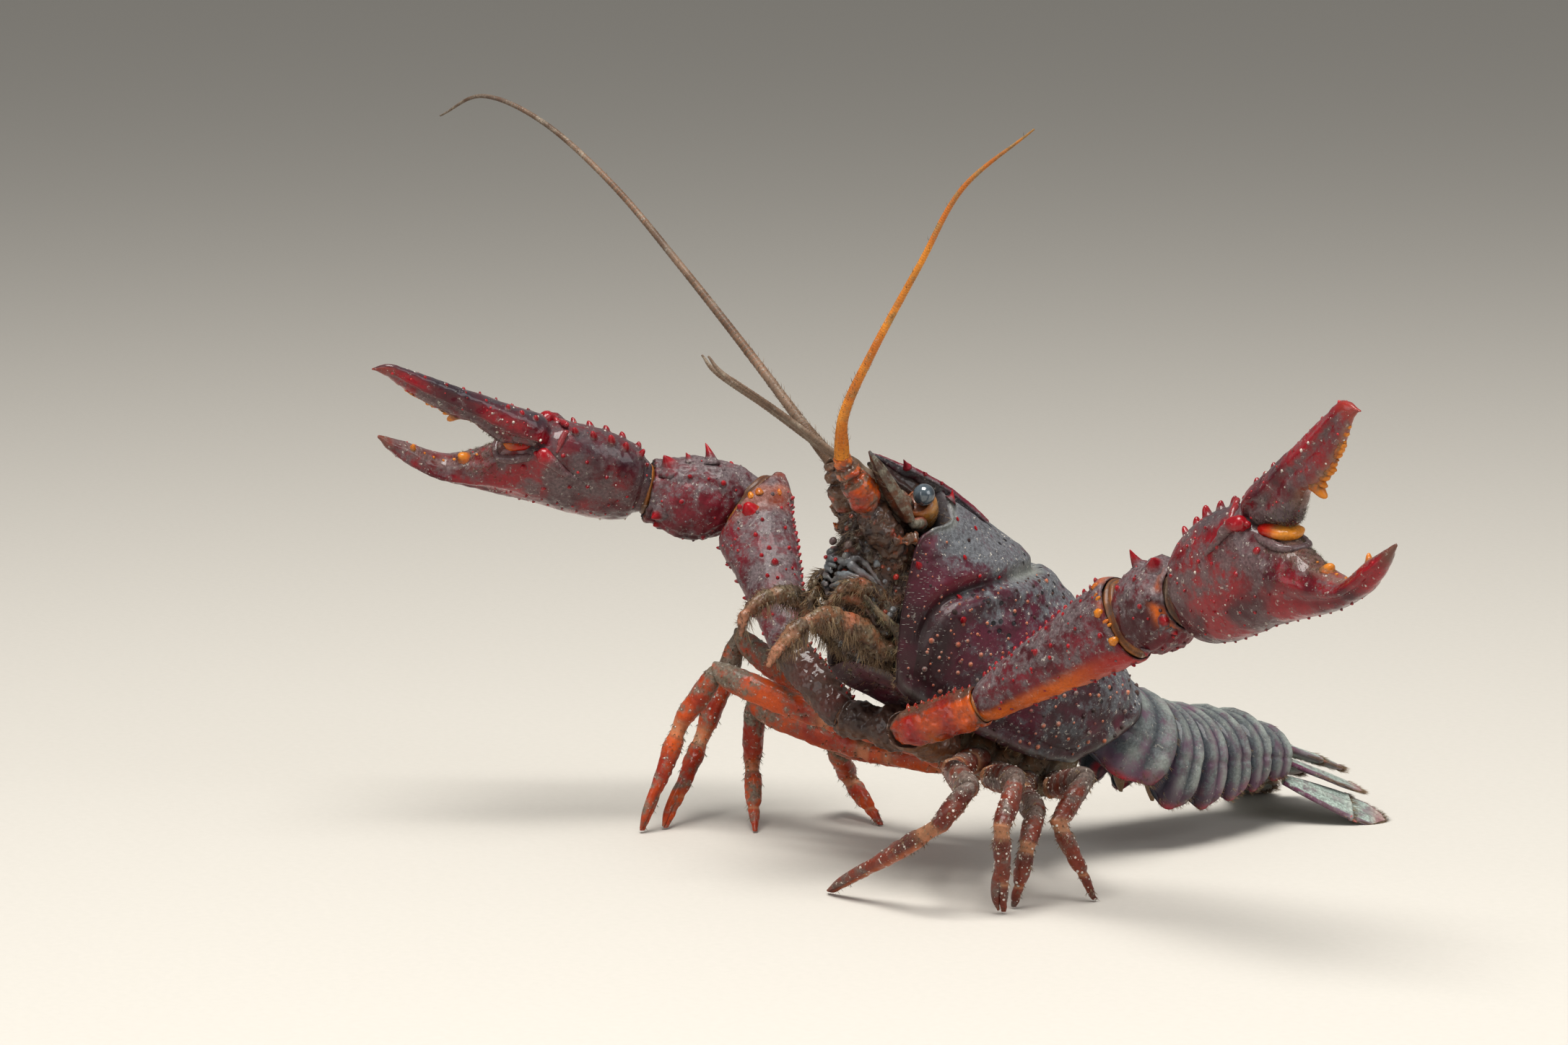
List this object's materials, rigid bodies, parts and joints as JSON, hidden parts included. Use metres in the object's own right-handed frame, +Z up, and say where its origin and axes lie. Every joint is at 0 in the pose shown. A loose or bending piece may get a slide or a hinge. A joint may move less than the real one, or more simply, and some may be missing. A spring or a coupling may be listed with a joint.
{
  "type": "red swamp crayfish",
  "caption": "Life-size crayfish model reared up in its threat stance, with both claws raised and spread.",
  "frame": {"origin": "on the floor, under the middle of the box that holds the whole animal", "axes": "+X to the animal's left, -Y ahead of it, +Z up"},
  "size_m": [0.1584, 0.1262, 0.1017],
  "materials": {
    "carapace": "hard dark maroon shell with a thin coat of dried mud",
    "belly": "thinner shell of the underside",
    "mouthparts": "brown, hairy mouth limbs",
    "claw": "glossy crimson shell with red tubercles",
    "arm": "glossy shell, maroon above and orange red below",
    "leg": "thin red brown shell with pale dots",
    "tail": "blue grey shell with pale edges",
    "tail_fan": "thin leathery blades, grey green with purple edges",
    "eye": "wet and glossy, dark blue grey",
    "eyestalk": "smooth golden brown",
    "antenna_base": "orange shell with mud in its joints",
    "antenna_scale": "thin shell, tan and red brown",
    "feeler": "finely ringed, orange brown"
  },
  "bodies": {
    "root": {"carapace": "carapace", "sternum": "belly", "mouth": "mouthparts", "maxilliped_left": "mouthparts", "maxilliped_right": "mouthparts", "claw_left_palm": "claw", "claw_left_finger": "claw", "claw_right_palm": "claw", "claw_right_finger": "claw", "arm_left_carpus": "claw", "arm_right_carpus": "claw", "arm_left_coxa": "arm", "arm_left_ischium": "arm", "arm_left_merus": "arm", "arm_right_coxa": "arm", "arm_right_ischium": "arm", "arm_right_merus": "arm", "leg_left_1_upper": "leg", "leg_left_1_lower": "leg", "leg_left_2_upper": "leg", "leg_left_2_lower": "leg", "leg_left_3_upper": "leg", "leg_left_3_lower": "leg", "leg_left_4_upper": "leg", "leg_left_4_lower": "leg", "leg_right_1_upper": "leg", "leg_right_1_lower": "leg", "leg_right_2_upper": "leg", "leg_right_2_lower": "leg", "leg_right_3_upper": "leg", "leg_right_3_lower": "leg", "leg_right_4_upper": "leg", "leg_right_4_lower": "leg", "tail_1": "tail", "tail_2": "tail", "tail_3": "tail", "tail_4": "tail", "tail_5": "tail", "tail_6": "tail", "telson": "tail_fan", "uropod_inner_left": "tail_fan", "uropod_inner_right": "tail_fan", "uropod_outer_left": "tail_fan", "uropod_outer_right": "tail_fan", "eye_left": "eye", "eye_right": "eye", "eyestalk_left": "eyestalk", "eyestalk_right": "eyestalk", "antenna_base_left": "antenna_base", "antenna_base_right": "antenna_base", "antenna_scale_left": "antenna_scale", "antenna_scale_right": "antenna_scale", "antenna_left": "feeler", "antenna_right": "feeler", "antennule_left": "feeler", "antennule_right": "feeler"}
  },
  "joints": []
}
